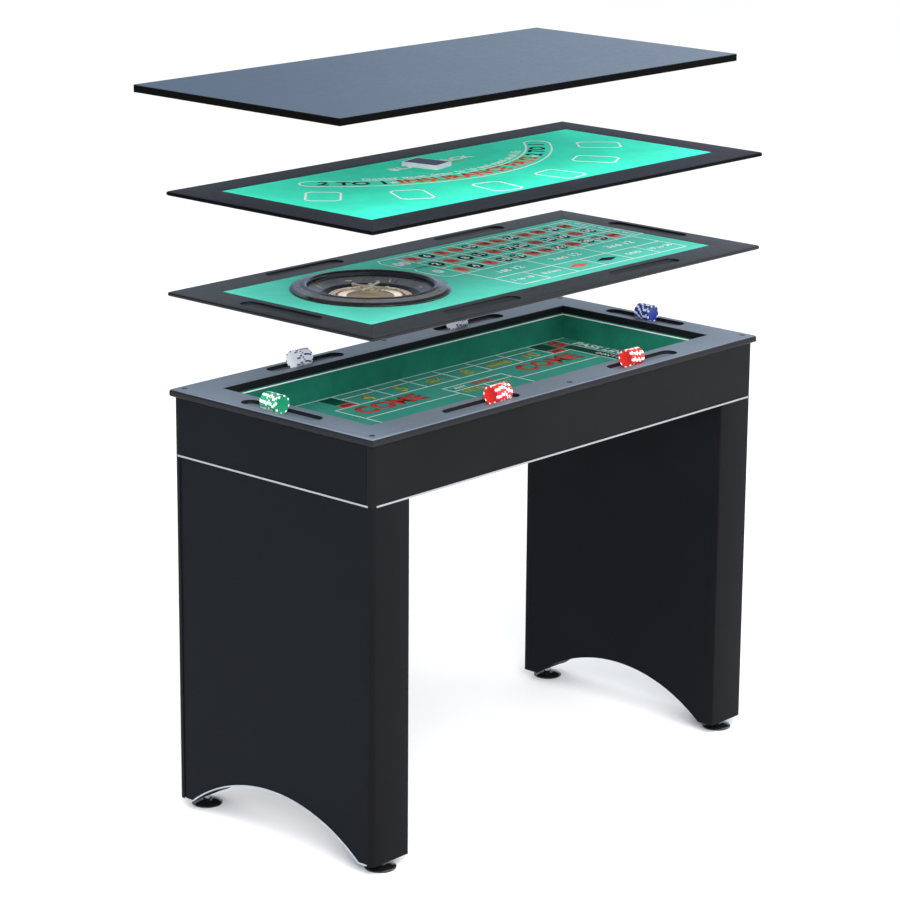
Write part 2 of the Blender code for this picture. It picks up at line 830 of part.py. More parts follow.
def build():
    clear_scene()
    home = collection("craps_table")
    tools = collection("cutters")
    looks = make_looks()
    # The footprint of the whole assembly is centred on the scene's origin
    root = empty("table_frame", (-DINING_DX / 2, -DINING_DY / 2, 0.0), home)
    roulette_lift = empty("roulette_lift", (0.0, 0.0, ROULETTE_Z), home, root)
    wheel_axis = empty("wheel_axis", (WHEEL_X, WHEEL_Y, 0.0), home, roulette_lift)
    blackjack_lift = empty("blackjack_lift", (0.0, 0.0, BLACKJACK_Z), home, root)
    dining_lift = empty("dining_lift", (DINING_DX, DINING_DY, DINING_Z), home, root)
    parts = Group(home, root, looks)
    cutters = Group(tools, root, looks)
    rim(parts, cutters)
    aprons(parts)
    trims(parts)
    well(parts, cutters)
    legs(parts, cutters)
    feet(parts, cutters)
    chips(parts)
    roulette(parts.at(roulette_lift), cutters.at(roulette_lift), wheel_axis)
    blackjack(parts.at(blackjack_lift), cutters.at(blackjack_lift))
    dining(parts.at(dining_lift))


build()
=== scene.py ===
"""Looks of the four-in-one casino table: printed cloths, satin boards, roulette wheel, chips and cards,
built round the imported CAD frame. Metres, in the frame's own axes."""

import math
import random

import bmesh
import bpy
from mathutils import Matrix, Vector


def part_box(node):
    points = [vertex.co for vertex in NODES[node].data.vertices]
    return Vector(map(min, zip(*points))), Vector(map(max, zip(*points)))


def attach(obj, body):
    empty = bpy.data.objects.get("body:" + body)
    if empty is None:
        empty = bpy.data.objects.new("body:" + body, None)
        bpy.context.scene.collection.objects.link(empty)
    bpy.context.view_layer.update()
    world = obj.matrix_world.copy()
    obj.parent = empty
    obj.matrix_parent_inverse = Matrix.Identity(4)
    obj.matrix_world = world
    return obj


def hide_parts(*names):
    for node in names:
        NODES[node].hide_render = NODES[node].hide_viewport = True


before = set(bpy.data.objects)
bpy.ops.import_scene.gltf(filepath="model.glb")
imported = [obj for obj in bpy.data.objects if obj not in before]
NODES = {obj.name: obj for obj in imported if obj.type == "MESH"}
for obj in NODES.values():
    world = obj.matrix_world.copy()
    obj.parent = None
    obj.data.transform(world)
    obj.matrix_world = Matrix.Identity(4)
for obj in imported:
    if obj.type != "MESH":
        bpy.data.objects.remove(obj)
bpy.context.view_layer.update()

# ------------------------ places read from the frame

RIM_LOW, RIM_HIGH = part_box("rim_frame")
CENTRE = (RIM_LOW + RIM_HIGH) / 2
RIM_TOP = RIM_HIGH.z
CRAPS_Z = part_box("craps_felt")[1].z
ROULETTE_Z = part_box("roulette_frame")[1].z
ROULETTE_FELT_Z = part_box("roulette_felt")[1].z
BLACKJACK_FELT_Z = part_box("blackjack_felt")[1].z
BOWL_LOW, BOWL_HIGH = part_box("wheel_bowl")
WHEEL = Vector(((BOWL_LOW.x + BOWL_HIGH.x) / 2, (BOWL_LOW.y + BOWL_HIGH.y) / 2, ROULETTE_Z))

# Thickness of print, width of a layout's lines, and the angle past which an edge of a CAD node is sharp.
INK = 0.00012
LINE = 0.0030
CREASE = math.radians(30.0)

# ------------------------ materials


class Look:
    """A Principled material with a few procedural nodes. Colours are scene-linear, coordinates metres."""

    def __init__(self, name, colour, roughness, metallic=0.0, specular=0.5):
        self.material = bpy.data.materials.new(name)
        self.material.use_nodes = True
        self.nodes = self.material.node_tree.nodes
        self.links = self.material.node_tree.links
        self.shader = self.nodes["Principled BSDF"]
        self.set("Base Color", (*colour, 1.0))
        self.set("Roughness", roughness)
        self.set("Metallic", metallic)
        self.set("Specular IOR Level", specular)
        self.coordinates = self.nodes.new("ShaderNodeTexCoord").outputs["Object"]

    def set(self, socket, value):
        self.shader.inputs[socket].default_value = value

    def stretched(self, scale):
        """Coordinates scaled by a different factor along each axis."""
        mapping = self.nodes.new("ShaderNodeMapping")
        mapping.inputs["Scale"].default_value = scale
        self.links.new(self.coordinates, mapping.inputs["Vector"])
        return mapping.outputs["Vector"]

    def noise(self, scale, detail=3.0, roughness=0.55, stretch=None):
        node = self.nodes.new("ShaderNodeTexNoise")
        node.inputs["Scale"].default_value = scale
        node.inputs["Detail"].default_value = detail
        node.inputs["Roughness"].default_value = roughness
        vector = self.stretched(stretch) if stretch else self.coordinates
        self.links.new(vector, node.inputs["Vector"])
        return node.outputs["Fac"]

    def waves(self, scale, direction, distortion=0.0):
        node = self.nodes.new("ShaderNodeTexWave")
        node.bands_direction = direction
        node.inputs["Scale"].default_value = scale
        node.inputs["Distortion"].default_value = distortion
        self.links.new(self.coordinates, node.inputs["Vector"])
        return node.outputs["Fac"]

    def ramp(self, value, stops):
        """Colours or greys at these positions of a value."""
        node = self.nodes.new("ShaderNodeValToRGB")
        elements = node.color_ramp.elements
        while len(elements) < len(stops):
            elements.new(0.5)
        for element, (position, colour) in zip(elements, stops):
            element.position = position
            element.color = (*colour, 1.0)
        self.links.new(value, node.inputs["Fac"])
        return node.outputs["Color"]

    def grey(self, value, low, high):
        return self.ramp(value, ((0.3, (low,) * 3), (0.7, (high,) * 3)))

    def drive(self, socket, output):
        self.links.new(output, self.shader.inputs[socket])

    def combine(self, a, b, operation="MULTIPLY"):
        node = self.nodes.new("ShaderNodeMath")
        node.operation = operation
        self.links.new(a, node.inputs[0])
        self.links.new(b, node.inputs[1])
        return node.outputs["Value"]

    def bump(self, height, strength, distance):
        node = self.nodes.new("ShaderNodeBump")
        node.inputs["Strength"].default_value = strength
        node.inputs["Distance"].default_value = distance
        self.links.new(height, node.inputs["Height"])
        if self.shader.inputs["Normal"].is_linked:
            before = self.shader.inputs["Normal"].links[0].from_socket
            self.links.new(before, node.inputs["Normal"])
        self.links.new(node.outputs["Normal"], self.shader.inputs["Normal"])


def shade(colour, factor):
    return tuple(c * factor for c in colour)


def laminate(name, colour, roughness, specular, grain=(1.0, 14.0, 14.0), depth=0.25):
    """Foil-wrapped board: fine pores along the grain, faint clouding and uneven gloss."""
    look = Look(name, colour, roughness, specular=specular)
    cloud = look.noise(5.0, 4.0)
    look.drive("Base Color", look.ramp(cloud, ((0.35, shade(colour, 0.90)), (0.65, shade(colour, 1.10)))))
    gloss = look.noise(60.0, 3.0, stretch=grain)
    look.drive("Roughness", look.grey(gloss, roughness - 0.05, roughness + 0.05))
    pores = look.noise(420.0, 4.0, 0.7, stretch=grain)
    look.bump(pores, depth, 0.00012)
    return look.material


def felt(name, colour, fuzz=0.30, clouds=0.12):
    """Short-napped cloth: fine fibres, a faint weave, and patches where the nap lies over."""
    look = Look(name, colour, 0.95, specular=0.12)
    nap = look.noise(9.0, 5.0, 0.6)
    fibre = look.noise(1500.0, 3.0, 0.7)
    mixed = look.combine(nap, fibre, "ADD")
    half = look.nodes.new("ShaderNodeMath")
    half.operation = "MULTIPLY"
    half.inputs[1].default_value = 0.5
    look.links.new(mixed, half.inputs[0])
    low, high = shade(colour, 1.0 - clouds), shade(colour, 1.0 + clouds)
    look.drive("Base Color", look.ramp(half.outputs["Value"], ((0.38, low), (0.62, high))))
    look.set("Sheen Weight", fuzz)
    look.set("Sheen Roughness", 0.45)
    look.set("Sheen Tint", (*(min(1.0, c * 1.6 + 0.15) for c in colour), 1.0))
    weave = look.combine(look.waves(700.0, "X"), look.waves(700.0, "Y"))
    look.bump(weave, 0.15, 0.0001)
    look.bump(fibre, 0.35, 0.00015)
    return look.material


def ink(name, colour):
    """Print that has soaked into the nap, so the cloth's fibres show through it."""
    look = Look(name, colour, 0.85, specular=0.15)
    fibre = look.noise(1500.0, 3.0, 0.7)
    look.drive("Base Color", look.ramp(fibre, ((0.30, shade(colour, 0.80)), (0.60, colour))))
    look.bump(fibre, 0.30, 0.00012)
    return look.material


def moulded(name, colour, roughness, specular=0.5, coat=0.0):
    """Moulded plastic with a faint flow pattern in its gloss."""
    look = Look(name, colour, roughness, specular=specular)
    flow = look.noise(35.0, 3.0)
    look.drive("Roughness", look.grey(flow, max(0.02, roughness - 0.04), roughness + 0.06))
    look.drive("Base Color", look.ramp(flow, ((0.35, shade(colour, 0.92)), (0.65, shade(colour, 1.08)))))
    look.set("Coat Weight", coat)
    look.set("Coat Roughness", 0.12)
    look.bump(look.noise(900.0, 2.0), 0.04, 0.00005)
    return look.material


def metal(name, colour, roughness, stretch=None):
    """Metal with fine brushing or polishing marks."""
    look = Look(name, colour, roughness, metallic=1.0)
    marks = look.noise(700.0, 4.0, 0.6, stretch=stretch)
    look.drive("Roughness", look.grey(marks, roughness - 0.06, roughness + 0.08))
    look.drive("Base Color", look.ramp(marks, ((0.3, shade(colour, 0.88)), (0.7, colour))))
    look.bump(marks, 0.10, 0.00003)
    return look.material


def hardboard(name, colour):
    """Pressed fibre board, bare."""
    look = Look(name, colour, 0.8, specular=0.25)
    flecks = look.noise(260.0, 5.0, 0.75)
    look.drive("Base Color", look.ramp(flecks, ((0.3, shade(colour, 0.65)), (0.7, shade(colour, 1.2)))))
    look.bump(flecks, 0.3, 0.0002)
    return look.material


def card_edges(name, colour):
    """Edges of a stack of cards: fine pale lines."""
    look = Look(name, colour, 0.7, specular=0.3)
    lines = look.waves(520.0, "Z", 0.6)
    look.drive("Base Color", look.ramp(lines, ((0.15, shade(colour, 0.62)), (0.6, colour))))
    look.bump(lines, 0.2, 0.0001)
    return look.material


LOOKS = {
    "rim": laminate("rim_satin", (0.105, 0.132, 0.168), 0.34, 0.45),
    # Near-black copy of the rim laminate for the rim's side faces, nosing and groove walls: painted shade.
    "rim_side_painted_shade": laminate("rim_laminate_painted_shade", (0.008, 0.008, 0.010), 0.42, 0.20),
    "panel_long": laminate("panel_front", (0.0060, 0.0060, 0.0068), 0.50, 0.07),
    "panel_end": laminate("panel_end", (0.0026, 0.0038, 0.0058), 0.50, 0.07, (14.0, 1.0, 14.0)),
    "post": laminate("panel_post", (0.0040, 0.0040, 0.0050), 0.50, 0.07, (14.0, 14.0, 1.0)),
    "panel_inner": laminate("panel_inner", (0.0028, 0.0036, 0.0052), 0.52, 0.07, (14.0, 14.0, 1.0)),
    "board": hardboard("hardboard", (0.52, 0.44, 0.34)),
    "craps": felt("craps_cloth_felt", (0.020, 0.255, 0.195)),
    "craps_wall": felt("wall_cloth_felt", (0.014, 0.175, 0.115), clouds=0.30),
    "roulette": felt("roulette_cloth_felt", (0.085, 0.560, 0.440), fuzz=0.12),
    "blackjack": felt("blackjack_cloth_felt", (0.040, 0.730, 0.510), fuzz=0.10),
    "top_frame": laminate("top_frame_wrap", (0.010, 0.010, 0.018), 0.60, 0.19, depth=0.8),
    "roulette_wrap": laminate("roulette_frame_wrap", (0.016, 0.018, 0.022), 0.50, 0.30, depth=0.6),
    # Near-black copy of the frame wrap for the faces that turn sideways: painted shade.
    "wrap_side_painted_shade": laminate("wrap_side_painted_shade", (0.002, 0.002, 0.003), 0.35, 0.22),
    "dining": laminate("dining_satin", (0.020, 0.030, 0.046), 0.22, 0.40, depth=0.06),
    # Near-black copy for the side faces of the dining top and the blackjack rails: painted shade.
    "near_black_painted_shade": laminate("near_black_painted_shade", (0.0008, 0.0008, 0.0008), 0.45, 0.03),
    "trim": metal("brushed_trim", (0.42, 0.43, 0.45), 0.30, (1.0, 1.0, 30.0)),
    "band": moulded("pale_edge_band", (0.30, 0.34, 0.38), 0.35),
    "cap": moulded("cap_black", (0.012, 0.012, 0.014), 0.35),
    "pad": moulded("pad_gloss_black", (0.008, 0.008, 0.009), 0.12, 0.6, 0.3),
    "steel": metal("zinc_steel", (0.55, 0.55, 0.57), 0.32),
    "bowl": moulded("bowl_gloss_black", (0.004, 0.004, 0.005), 0.16, 0.45, 0.2),
    # Lighter grey for the bowl's up-facing slopes: a painted highlight on the glossy black plastic.
    "bowl_painted_highlight": moulded("bowl_slope_painted_highlight", (0.115, 0.121, 0.148), 0.30, 0.5, 0.1),
    "bowl_cone": moulded("bowl_dark_slate", (0.006, 0.012, 0.020), 0.30, 0.35, 0.0),
    "rotor_base": moulded("rotor_base_black", (0.015, 0.015, 0.017), 0.28),
    "brass": metal("pale_brass", (0.98, 0.90, 0.74), 0.34),
    "cone": moulded("cone_cream_gold", (0.34, 0.25, 0.15), 0.30, 0.5, 0.1),
    "ring_red": moulded("ring_red", (0.86, 0.09, 0.10), 0.34, 0.4),
    "ring_black": moulded("ring_black", (0.014, 0.014, 0.016), 0.30, 0.5, 0.2),
    "ring_green": moulded("ring_green", (0.02, 0.30, 0.12), 0.30, 0.5, 0.2),
    "cream": moulded("cream_print", (0.93, 0.87, 0.74), 0.40),
    "card_side": card_edges("card_edges", (0.93, 0.93, 0.95)),
    "card_back": moulded("card_back_slate", (0.085, 0.080, 0.190), 0.62, 0.2),
    "card_white": moulded("card_white", (0.82, 0.82, 0.85), 0.40, 0.5, 0.1),
    "white_ink": ink("ink_white", (0.93, 0.95, 0.95)),
    "black_ink": ink("ink_black", (0.012, 0.014, 0.016)),
    "red_ink": ink("ink_red", (0.68, 0.050, 0.040)),
    "red_spot": ink("ink_red_spot", (0.88, 0.150, 0.120)),
    "yellow_ink": ink("ink_yellow", (0.55, 0.46, 0.03)),
    "orange_ink": ink("ink_orange", (0.75, 0.09, 0.02)),
    "dark_ink": ink("ink_dark_green", (0.004, 0.075, 0.05)),
    "line_ink": ink("ink_line", (0.80, 0.93, 0.90)),
}


# ------------------------ pieces


def add_piece(obj, body, slot, *nodes):
    """Puts a new object in the scene, on a body, in place of these CAD nodes."""
    bpy.context.scene.collection.objects.link(obj)
    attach(obj, body)
    if nodes:
        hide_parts(*nodes)


def object_from(work, name, *looks):
    mesh = bpy.data.meshes.new(name)
    work.to_mesh(mesh)
    work.free()
    for look in looks:
        mesh.materials.append(LOOKS[look])
    return bpy.data.objects.new(name, mesh)


def smooth(obj, degrees=35.0):
    obj.data.shade_smooth()
    obj.data.set_sharp_from_angle(angle=math.radians(degrees))


def dress(name, look, edge=0.0):
    """Gives a CAD node its finish; its facets are joined and its edges eased without moving them."""
    obj = NODES[name]
    obj.data.materials.clear()
    obj.data.materials.append(LOOKS[look])
    custom = obj.data.attributes.get("custom_normal")
    if custom:
        obj.data.attributes.remove(custom)
    for polygon in obj.data.polygons:
        polygon.use_smooth = True
    for edge_data in obj.data.edges:
        edge_data.use_edge_sharp = False
    weld = obj.modifiers.new("weld", "WELD")
    weld.merge_threshold = 0.00001
    if edge:
        bevel = obj.modifiers.new("edge", "BEVEL")
        bevel.width = edge
        bevel.segments = 2
        bevel.limit_method = "ANGLE"
        bevel.angle_limit = CREASE
        bevel.harden_normals = True
    else:
        split = obj.modifiers.new("crease", "EDGE_SPLIT")
        split.split_angle = CREASE
        split.use_edge_sharp = False


def turned(name, profile, steps, *looks, crease=40):
    """Closed (radius, z) profile turned about the wheel's axis, as one mesh with smooth faces."""
    mesh = bpy.data.meshes.new(name)
    count = len(profile)
    on_axis = profile[0][0] == 0.0
    edges = [(i, i + 1) for i in range(count - 1)]
    if not on_axis:
        edges.append((count - 1, 0))
    mesh.from_pydata([(r, 0.0, z) for r, z in profile], edges, [])
    for look in looks:
        mesh.materials.append(LOOKS[look])
    obj = bpy.data.objects.new(name, mesh)
    obj.location = WHEEL
    screw = obj.modifiers.new("screw", "SCREW")
    screw.angle = 2 * math.pi
    screw.steps = steps
    screw.render_steps = steps
    screw.use_merge_vertices = True
    screw.merge_threshold = 0.000005
    screw.use_smooth_shade = True
    made = baked(obj)
    smooth(made, crease)
    return made


def baked(obj):
    """The object with its modifiers applied to its mesh."""
    bpy.context.scene.collection.objects.link(obj)
    bpy.context.view_layer.update()
    graph = bpy.context.evaluated_depsgraph_get()
    mesh = bpy.data.meshes.new_from_object(obj.evaluated_get(graph))
    mesh.transform(obj.matrix_world)
    made = bpy.data.objects.new(obj.name, mesh)
    name = obj.name
    bpy.data.objects.remove(obj)
    made.name = name
    return made


def soft_profile(points, radius, steps=4):
    """The profile with each inner corner rounded by up to this radius."""
    made = [points[0]]
    for before, here, after in zip(points, points[1:], points[2:]):
        a, b, c = Vector(before), Vector(here), Vector(after)
        into, out = (a - b), (c - b)
        reach = min(radius, into.length * 0.45, out.length * 0.45)
        start = b + into.normalized() * reach
        end = b + out.normalized() * reach
        for k in range(steps + 1):
            t = k / steps
            point = start * (1 - t) ** 2 + b * 2 * t * (1 - t) + end * t**2
            made.append((point.x, point.y))
    made.append(points[-1])
    return made


def moved(points, x, y, angle):
    """The flat points turned by an angle and then shifted."""
    c, s = math.cos(angle), math.sin(angle)
    return [(x + u * c - v * s, y + u * s + v * c) for u, v in points]


# ------------------------ printing


class Print:
    """Everything printed on one cloth: thin shapes gathered by ink, placed from the cloth's centre."""

    def __init__(self, name, body, slot, z, rule_look="white_ink"):
        self.name = name
        self.rule_look = rule_look
        self.body = body
        self.slot = slot
        self.z = z
        self.inks = {}

    def work(self, look):
        if look not in self.inks:
            self.inks[look] = bmesh.new()
        return self.inks[look]

    def face(self, look, points):
        work = self.work(look)
        level = self.level(look)
        work.faces.new([work.verts.new((x, y, level)) for x, y in points])

    def level(self, look):
        """White and coloured inks lie a hair above the dark ones, so overlaps show the right one."""
        order = {"dark_ink": 0, "black_ink": 1, "line_ink": 1}
        return INK * (1 + order.get(look, 2) * 0.5)

    def rect(self, look, x0, y0, x1, y1):
        self.face(look, [(x0, y0), (x1, y0), (x1, y1), (x0, y1)])

    def rule(self, x0, y0, x1, y1):
        """Straight line of the layout, in the ink and width that the whole page uses."""
        a, b = Vector((x0, y0)), Vector((x1, y1))
        along = (b - a).normalized() * LINE / 2
        side = Vector((-along.y, along.x))
        corners = (a - along - side, b + along - side, b + along + side, a - along + side)
        self.face(self.rule_look, [tuple(p) for p in corners])

    def strip(self, look, points, wide, closed=False):
        """Stroke of even width along a line of points, mitred at its corners."""
        points = [Vector(p) for p in points]
        count = len(points)
        sides = []
        for i, point in enumerate(points):
            ahead = points[(i + 1) % count] - point if closed or i < count - 1 else None
            behind = point - points[i - 1] if closed or i > 0 else None
            a = (ahead or behind).normalized()
            b = (behind or ahead).normalized()
            middle = (a + b).normalized()
            reach = wide / 2 / max(0.3, middle.dot(a))
            normal = Vector((-middle.y, middle.x)) * reach
            sides.append((tuple(point + normal), tuple(point - normal)))
        for i in range(count if closed else count - 1):
            here, there = sides[i], sides[(i + 1) % count]
            self.face(look, [here[1], there[1], there[0], here[0]])

    def oval(self, look, x, y, rx, ry, steps=28):
        angles = [2 * math.pi * k / steps for k in range(steps)]
        self.face(look, [(x + rx * math.cos(a), y + ry * math.sin(a)) for a in angles])

    def text(self, look, words, x, y, size, turn=0.0, bold=0.0, wide=1.0, bend=None):
        """Words centred on a point. bend is the (centre, radius) of an arc that their middle follows."""
        font = bpy.data.curves.new("words", "FONT")
        font.body = words
        font.size = size
        font.align_x = "CENTER"
        font.align_y = "CENTER"
        font.offset = bold
        font.resolution_u = 3
        font.space_character = 1.05
        source = bpy.data.objects.new("words", font)
        bpy.context.scene.collection.objects.link(source)
        bpy.context.view_layer.update()
        graph = bpy.context.evaluated_depsgraph_get()
        mesh = bpy.data.meshes.new_from_object(source.evaluated_get(graph))
        level = self.level(look)
        for vertex in mesh.vertices:
            u, v = vertex.co.x * wide, vertex.co.y
            if bend:
                centre, radius = bend
                vertex.co = (*arc_point(centre, radius - v, turn + u / radius), level)
            else:
                c, s = math.cos(turn), math.sin(turn)
                vertex.co = (x + u * c - v * s, y + u * s + v * c, level)
        self.work(look).from_mesh(mesh)
        bpy.data.objects.remove(source)
        bpy.data.curves.remove(font)
        bpy.data.meshes.remove(mesh)

    def outlined(self, look, words, x, y, size, bold, rim=0.0008):
        """Words with a dark outline."""
        self.text("black_ink", words, x, y, size, bold=bold + rim)
        self.text(look, words, x, y, size, bold=bold)

    def finish(self):
        for look, work in self.inks.items():
            bmesh.ops.recalc_face_normals(work, faces=work.faces)
            for face in work.faces:
                if face.normal.z < 0:
                    face.normal_flip()
            obj = object_from(work, f"{self.name}_{look}", look)
            obj.location = (CENTRE.x, CENTRE.y, self.z)
            thick = obj.modifiers.new("ink", "SOLIDIFY")
            thick.thickness = INK * 0.8
            thick.offset = -1.0
            add_piece(obj, self.body, self.slot)


def number_colour(number):
    """Red or black, as on any roulette layout."""
    red = {1, 3, 5, 7, 9, 12, 14, 16, 18, 19, 21, 23, 25, 27, 30, 32, 34, 36}
    return "red_spot" if number in red else "black_ink"


def roulette_print():
    page = Print("roulette_print", "roulette_top", "roulette_cloth", ROULETTE_FELT_Z)
    left, cell = -0.054, 0.0453
    right = left + 12 * cell
    rows = (0.1875, 0.1175, 0.0475, -0.0225)
    for y in rows:
        page.rule(left, y, right + 0.042, y)
    for k in range(13):
        page.rule(left + k * cell, rows[0], left + k * cell, rows[3])
    page.rule(right + 0.042, rows[0], right + 0.042, rows[3])
    for column in range(12):
        for row in range(3):
            number = 3 * column + 3 - row
            x = left + (column + 0.5) * cell
            y = (rows[row] + rows[row + 1]) / 2
            page.oval(number_colour(number), x, y, 0.0172, 0.0195)
            page.text("white_ink", str(number), x, y, 0.028, bold=0.0010)
    for row in range(3):
        y = (rows[row] + rows[row + 1]) / 2
        page.text("white_ink", "2 to 1", right + 0.021, y, 0.019, math.pi / 2, 0.0003)
    middle = (rows[0] + rows[3]) / 2
    point, corner = left - 0.060, 0.020
    for words, y0, y1 in (("00", middle, rows[0]), ("0", rows[3], middle)):
        outline = [(left, y0), (point + corner * 0.7, y0), (point, y0 + corner)]
        outline += [(point, y1 - corner), (point + corner * 0.7, y1), (left, y1)]
        page.strip("white_ink", outline, LINE)
        page.text("white_ink", words, left - 0.028, (y0 + y1) / 2, 0.040, bold=0.0016)
    dozens, outside = -0.1005, -0.1785
    for y in (dozens, outside):
        page.rule(left, y, right, y)
    for k in range(4):
        x = left + 4 * k * cell
        page.rule(x, rows[3], x, outside)
    for k in (1, 3, 5):
        x = left + 2 * k * cell
        page.rule(x, dozens, x, outside)
    for k, words in enumerate(("1st 12", "2nd 12", "3rd 12")):
        page.text("white_ink", words, left + (4 * k + 2) * cell, (rows[3] + dozens) / 2, 0.032, bold=0.0008)
    y = (dozens + outside) / 2
    for k, words in enumerate(("1 to 18", "EVEN", "", "", "ODD", "19 to 36")):
        if words:
            page.text("white_ink", words, left + (2 * k + 1) * cell, y, 0.021, bold=0.0005)
    for k, look in ((2, "red_spot"), (3, "black_ink")):
        x = left + (2 * k + 1) * cell
        page.face(look, [(x - 0.034, y), (x, y - 0.014), (x + 0.034, y), (x, y + 0.014)])
    page.finish()


def arc_point(centre, radius, angle):
    """Point on a circle; the angle is measured from straight down, positive to the right."""
    return (centre[0] + radius * math.sin(angle), centre[1] - radius * math.cos(angle))


def arc_points(centre, radius, start, end, steps=40):
    return [arc_point(centre, radius, start + (end - start) * k / steps) for k in range(steps + 1)]


def blackjack_print():
    page = Print("blackjack_print", "blackjack_top", "blackjack_cloth", BLACKJACK_FELT_Z)
    centre = (0.0, 0.431)
    outer, inner = 0.484, 0.428
    reach = math.radians(49.5)
    middle = (outer + inner) / 2
    half = (outer - inner) / 2
    band = arc_points(centre, outer, -reach, reach)
    for end in (1, -1):
        tip = arc_point(centre, middle, end * reach)
        cap = [arc_point(tip, half, end * (reach + math.pi * k / 9)) for k in range(1, 9)]
        band += cap + arc_points(centre, inner, reach, -reach) if end == 1 else cap[::-1]
    page.strip("white_ink", band, 0.0040, closed=True)
    bend = (centre, middle - 0.002)
    page.text("orange_ink", "INSURANCE PAYS", 0, 0, 0.052, bold=0.0022, bend=bend)
    for end in (-1, 1):
        turn = end * math.radians(39)
        page.text("black_ink", "2 TO 1", 0, 0, 0.048, turn, 0.0016, bend=bend)
        star = end * math.radians(28.5)
        page.face("white_ink", star_points(*arc_point(centre, middle, star), 0.011, star))
    words = "Dealer must draw to 16 and stand on all 17s"
    page.text("white_ink", words, 0, 0, 0.027, 0.0, 0.0006, bend=(centre, 0.410))
    page.text("white_ink", "BLACKJACK", 0.0, 0.130, 0.036, bold=0.0012, wide=1.22)
    page.text("orange_ink", "pays 3 to 2", 0.050, 0.100, 0.013, bold=0.0003)
    for angle in (9.7, 29.0, 46.5):
        for side in (-1, 1):
            betting_box(page, centre, 0.590 if angle > 20 else 0.585, side * math.radians(angle))
    page.finish()


def star_points(x, y, size, turn):
    points = []
    for k in range(10):
        reach = size if k % 2 == 0 else size * 0.42
        angle = turn + math.pi / 2 + k * math.pi / 5
        points.append((x + reach * math.cos(angle), y + reach * math.sin(angle)))
    return points


def betting_box(page, centre, radius, angle):
    """White outline with clipped corners, turned to face the dealer."""
    wide, long_side, corner = 0.035, 0.046, 0.010
    outline = []
    for sx, sy in ((1, 1), (-1, 1), (-1, -1), (1, -1)):
        near = [(sx * wide, sy * (long_side - corner)), (sx * (wide - corner), sy * long_side)]
        outline += near if sx * sy > 0 else near[::-1]
    place = arc_point(centre, radius, angle)
    page.strip("white_ink", moved(outline, *place, angle), 0.0042, closed=True)


def craps_print():
    page = Print("craps_print", "table", "craps_cloth", CRAPS_Z, "line_ink")
    back, low, thin = 0.2035, 0.118, 0.174
    left, cell = -0.226, 0.1042
    right = left + 6 * cell
    end, start = 0.455, -0.300
    bar, lane, wall = 0.038, 0.038, 0.5305
    page.rule(-wall + 0.156, back, wall, back)
    page.rule(left, thin, right, thin)
    page.rule(start, low, end, low)
    for k in range(7):
        page.rule(left + k * cell, back, left + k * cell, low)
    for k, words in enumerate(("4", "5", "SIX", "8", "NINE", "10")):
        size = 0.052 if len(words) < 3 else 0.030
        x = left + (k + 0.5) * cell
        page.outlined("yellow_ink", words, x, (thin + low) / 2, size, bold=0.0012)
    for x0, x1 in ((left - 0.044, left - 0.004), (right + 0.004, right + 0.048)):
        page.rect("dark_ink", x0, 0.148, x1, 0.1985)
        page.rect("red_ink", x0, 0.121, x1, 0.144)
        page.text("white_ink", "BAR", (x0 + x1) / 2, 0.1325, 0.016, bold=0.0004)
    field, foot = 0.031, -0.048
    for x in (-0.178, 0.330):
        page.outlined("red_ink", "COME", x, 0.0755, 0.066, bold=0.0018, rim=0.0012)
    page.rule(start, field, -0.0105, field)
    page.rule(0.178, field, end, field)
    page.strip("line_ink", [(-0.0105, foot), (-0.0105, 0.0825), (0.178, 0.0825), (0.178, foot)], LINE)
    page.rule(-0.0105, 0.050, 0.178, 0.050)
    page.rule(0.084, 0.050, 0.084, foot)
    page.text("line_ink", "ANY", 0.028, 0.066, 0.018, bold=0.0003)
    page.outlined("red_ink", "SEVEN", 0.098, 0.066, 0.022, bold=0.0008, rim=0.0005)
    page.outlined("yellow_ink", "FIELD", 0.036, 0.033, 0.024, bold=0.0008, rim=0.0006)
    page.outlined("yellow_ink", "3 to 1", 0.130, 0.033, 0.020, bold=0.0005, rim=0.0005)
    for y0, y1 in ((0.175, 0.197), (0.150, 0.171)):
        page.rect("red_ink", end + 0.002, y0, end + 0.031, y1)
        page.text("white_ink", "7", end + 0.0165, (y0 + y1) / 2, 0.014, bold=0.0004)
    page.rect("dark_ink", end + 0.003, -0.120, end + bar - 0.003, 0.144)
    page.text("white_ink", "DON'T PASS", end + bar / 2, 0.01, 0.017, -math.pi / 2, 0.0003)
    page.text("white_ink", "PASS LINE", end + bar + lane / 2, 0.075, 0.034, -math.pi / 2, 0.0010)
    for side, x in ((1, end), (-1, start)):
        page.rule(x, low, x, foot)
        page.rule(x + side * bar, back, x + side * bar, -0.162)
    low_rows(page, start, end, foot, bar, lane)
    proposition_box(page, start - bar - lane, wall, back)
    page.finish()


def low_rows(page, start, end, foot, bar, lane):
    """Field row, don't pass bar and pass line along the players' side."""
    page.rule(start, foot, end, foot)
    page.rule(start, -0.118, end, -0.118)
    page.strip("line_ink", [(start - bar, -0.162), (end + bar, -0.162)], LINE)
    left = start - bar - lane
    page.strip("line_ink", [(left, 0.2035), (left, -0.203), (end + bar + lane, -0.203)], LINE)
    for k, words in enumerate(("2", "3", "4", "9", "10", "11", "12")):
        x = start + (k + 0.5) * (end - start) / 7
        page.outlined("yellow_ink", words, x, -0.083, 0.046, bold=0.0010)
    page.rect("dark_ink", start + 0.004, -0.158, end - 0.004, -0.122)
    page.text("white_ink", "DON'T PASS BAR", (start + end) / 2, -0.140, 0.028, bold=0.0008, wide=1.3)
    page.text("white_ink", "PASS LINE", (start + end) / 2, -0.183, 0.034, bold=0.0010, wide=1.5)


